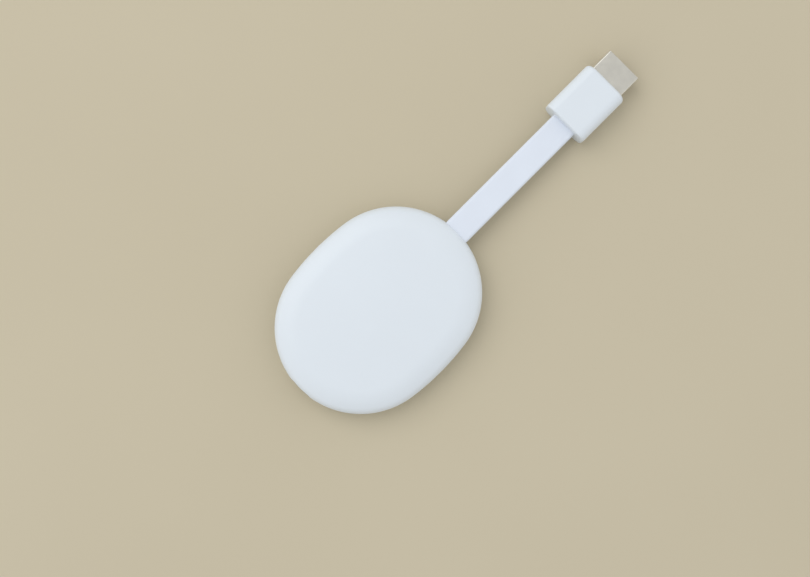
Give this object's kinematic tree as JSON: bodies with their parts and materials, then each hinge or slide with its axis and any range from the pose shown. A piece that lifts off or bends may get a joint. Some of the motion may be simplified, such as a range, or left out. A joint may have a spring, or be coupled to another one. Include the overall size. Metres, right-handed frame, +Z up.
{
  "type": "streaming media stick",
  "caption": "Flat oval pebble-shaped media player with a short captive flat cable that ends in a boxed video plug with a metal shell.",
  "frame": {"origin": "on the table, under the middle of the oval puck", "axes": "+X along the cable from the puck towards the plug, +Z up through the crowned top"},
  "size_m": [0.1587, 0.061, 0.0125],
  "materials": {
    "white_plastic": "smooth satin white plastic",
    "cable_jacket": "matte white moulded jacket",
    "satin_nickel": "satin nickel plating",
    "spreader_metal": "plain rolled sheet",
    "screw_steel": "plain steel",
    "thermal_pad": "matte silicone",
    "board_laminate": "solder resist",
    "chip_black": "matte moulded resin",
    "insulator_black": "smooth black plastic",
    "contact_gold": "gold plating",
    "wire_copper": "tinned copper",
    "capacitor_tan": "fired ceramic",
    "led_white": "clear resin over phosphor",
    "light_guide_clear": "milky clear plastic"
  },
  "bodies": {
    "housing": {"top_shell": "white_plastic", "bottom_shell": "white_plastic", "upper_heat_spreader": "spreader_metal", "upper_thermal_pad": "thermal_pad", "upper_shield_can": "satin_nickel", "processor": "chip_black", "processor_pad": "thermal_pad", "memory_chips": "chip_black", "main_board": "board_laminate", "wireless_module": "satin_nickel", "antennas": "contact_gold", "inductors": "chip_black", "capacitors": "capacitor_tan", "crystal": "satin_nickel", "board_screws": "screw_steel", "lower_shield_can": "satin_nickel", "flash_chip": "chip_black", "power_chip": "chip_black", "lower_thermal_pad": "thermal_pad", "lower_heat_spreader": "spreader_metal", "port_shell": "satin_nickel", "port_insert": "insulator_black", "port_contacts": "contact_gold", "switch_body": "chip_black", "switch_dome": "screw_steel", "status_led": "led_white", "light_guide": "light_guide_clear", "cable_anchor": "white_plastic", "board_conductors": "wire_copper", "ribbon_cable": "cable_jacket"},
    "button": {"reset_button": "white_plastic", "switch_plunger": "chip_black"},
    "plug": {"plug_housing": "white_plastic", "plug_inner_mould": "insulator_black", "plug_board": "board_laminate", "plug_conductors": "wire_copper", "plug_shell": "satin_nickel", "plug_insulator": "insulator_black", "plug_contacts": "contact_gold"}
  },
  "joints": [
    {"name": "button_press", "type": "slide", "parent": "housing", "child": "button", "axis": [0, 0, 1], "range_m": [0, 0.0003], "stiffness_N_per_m": 300, "springref_m": -0.0005, "deforming": ["switch_dome"]},
    {"name": "cable_bend", "type": "hinge", "parent": "housing", "child": "plug", "pos_m": [0.0649, 0, 0.00588], "axis": [0, -1, 0], "range_deg": [-60, 60], "deforming": ["ribbon_cable"]}
  ]
}
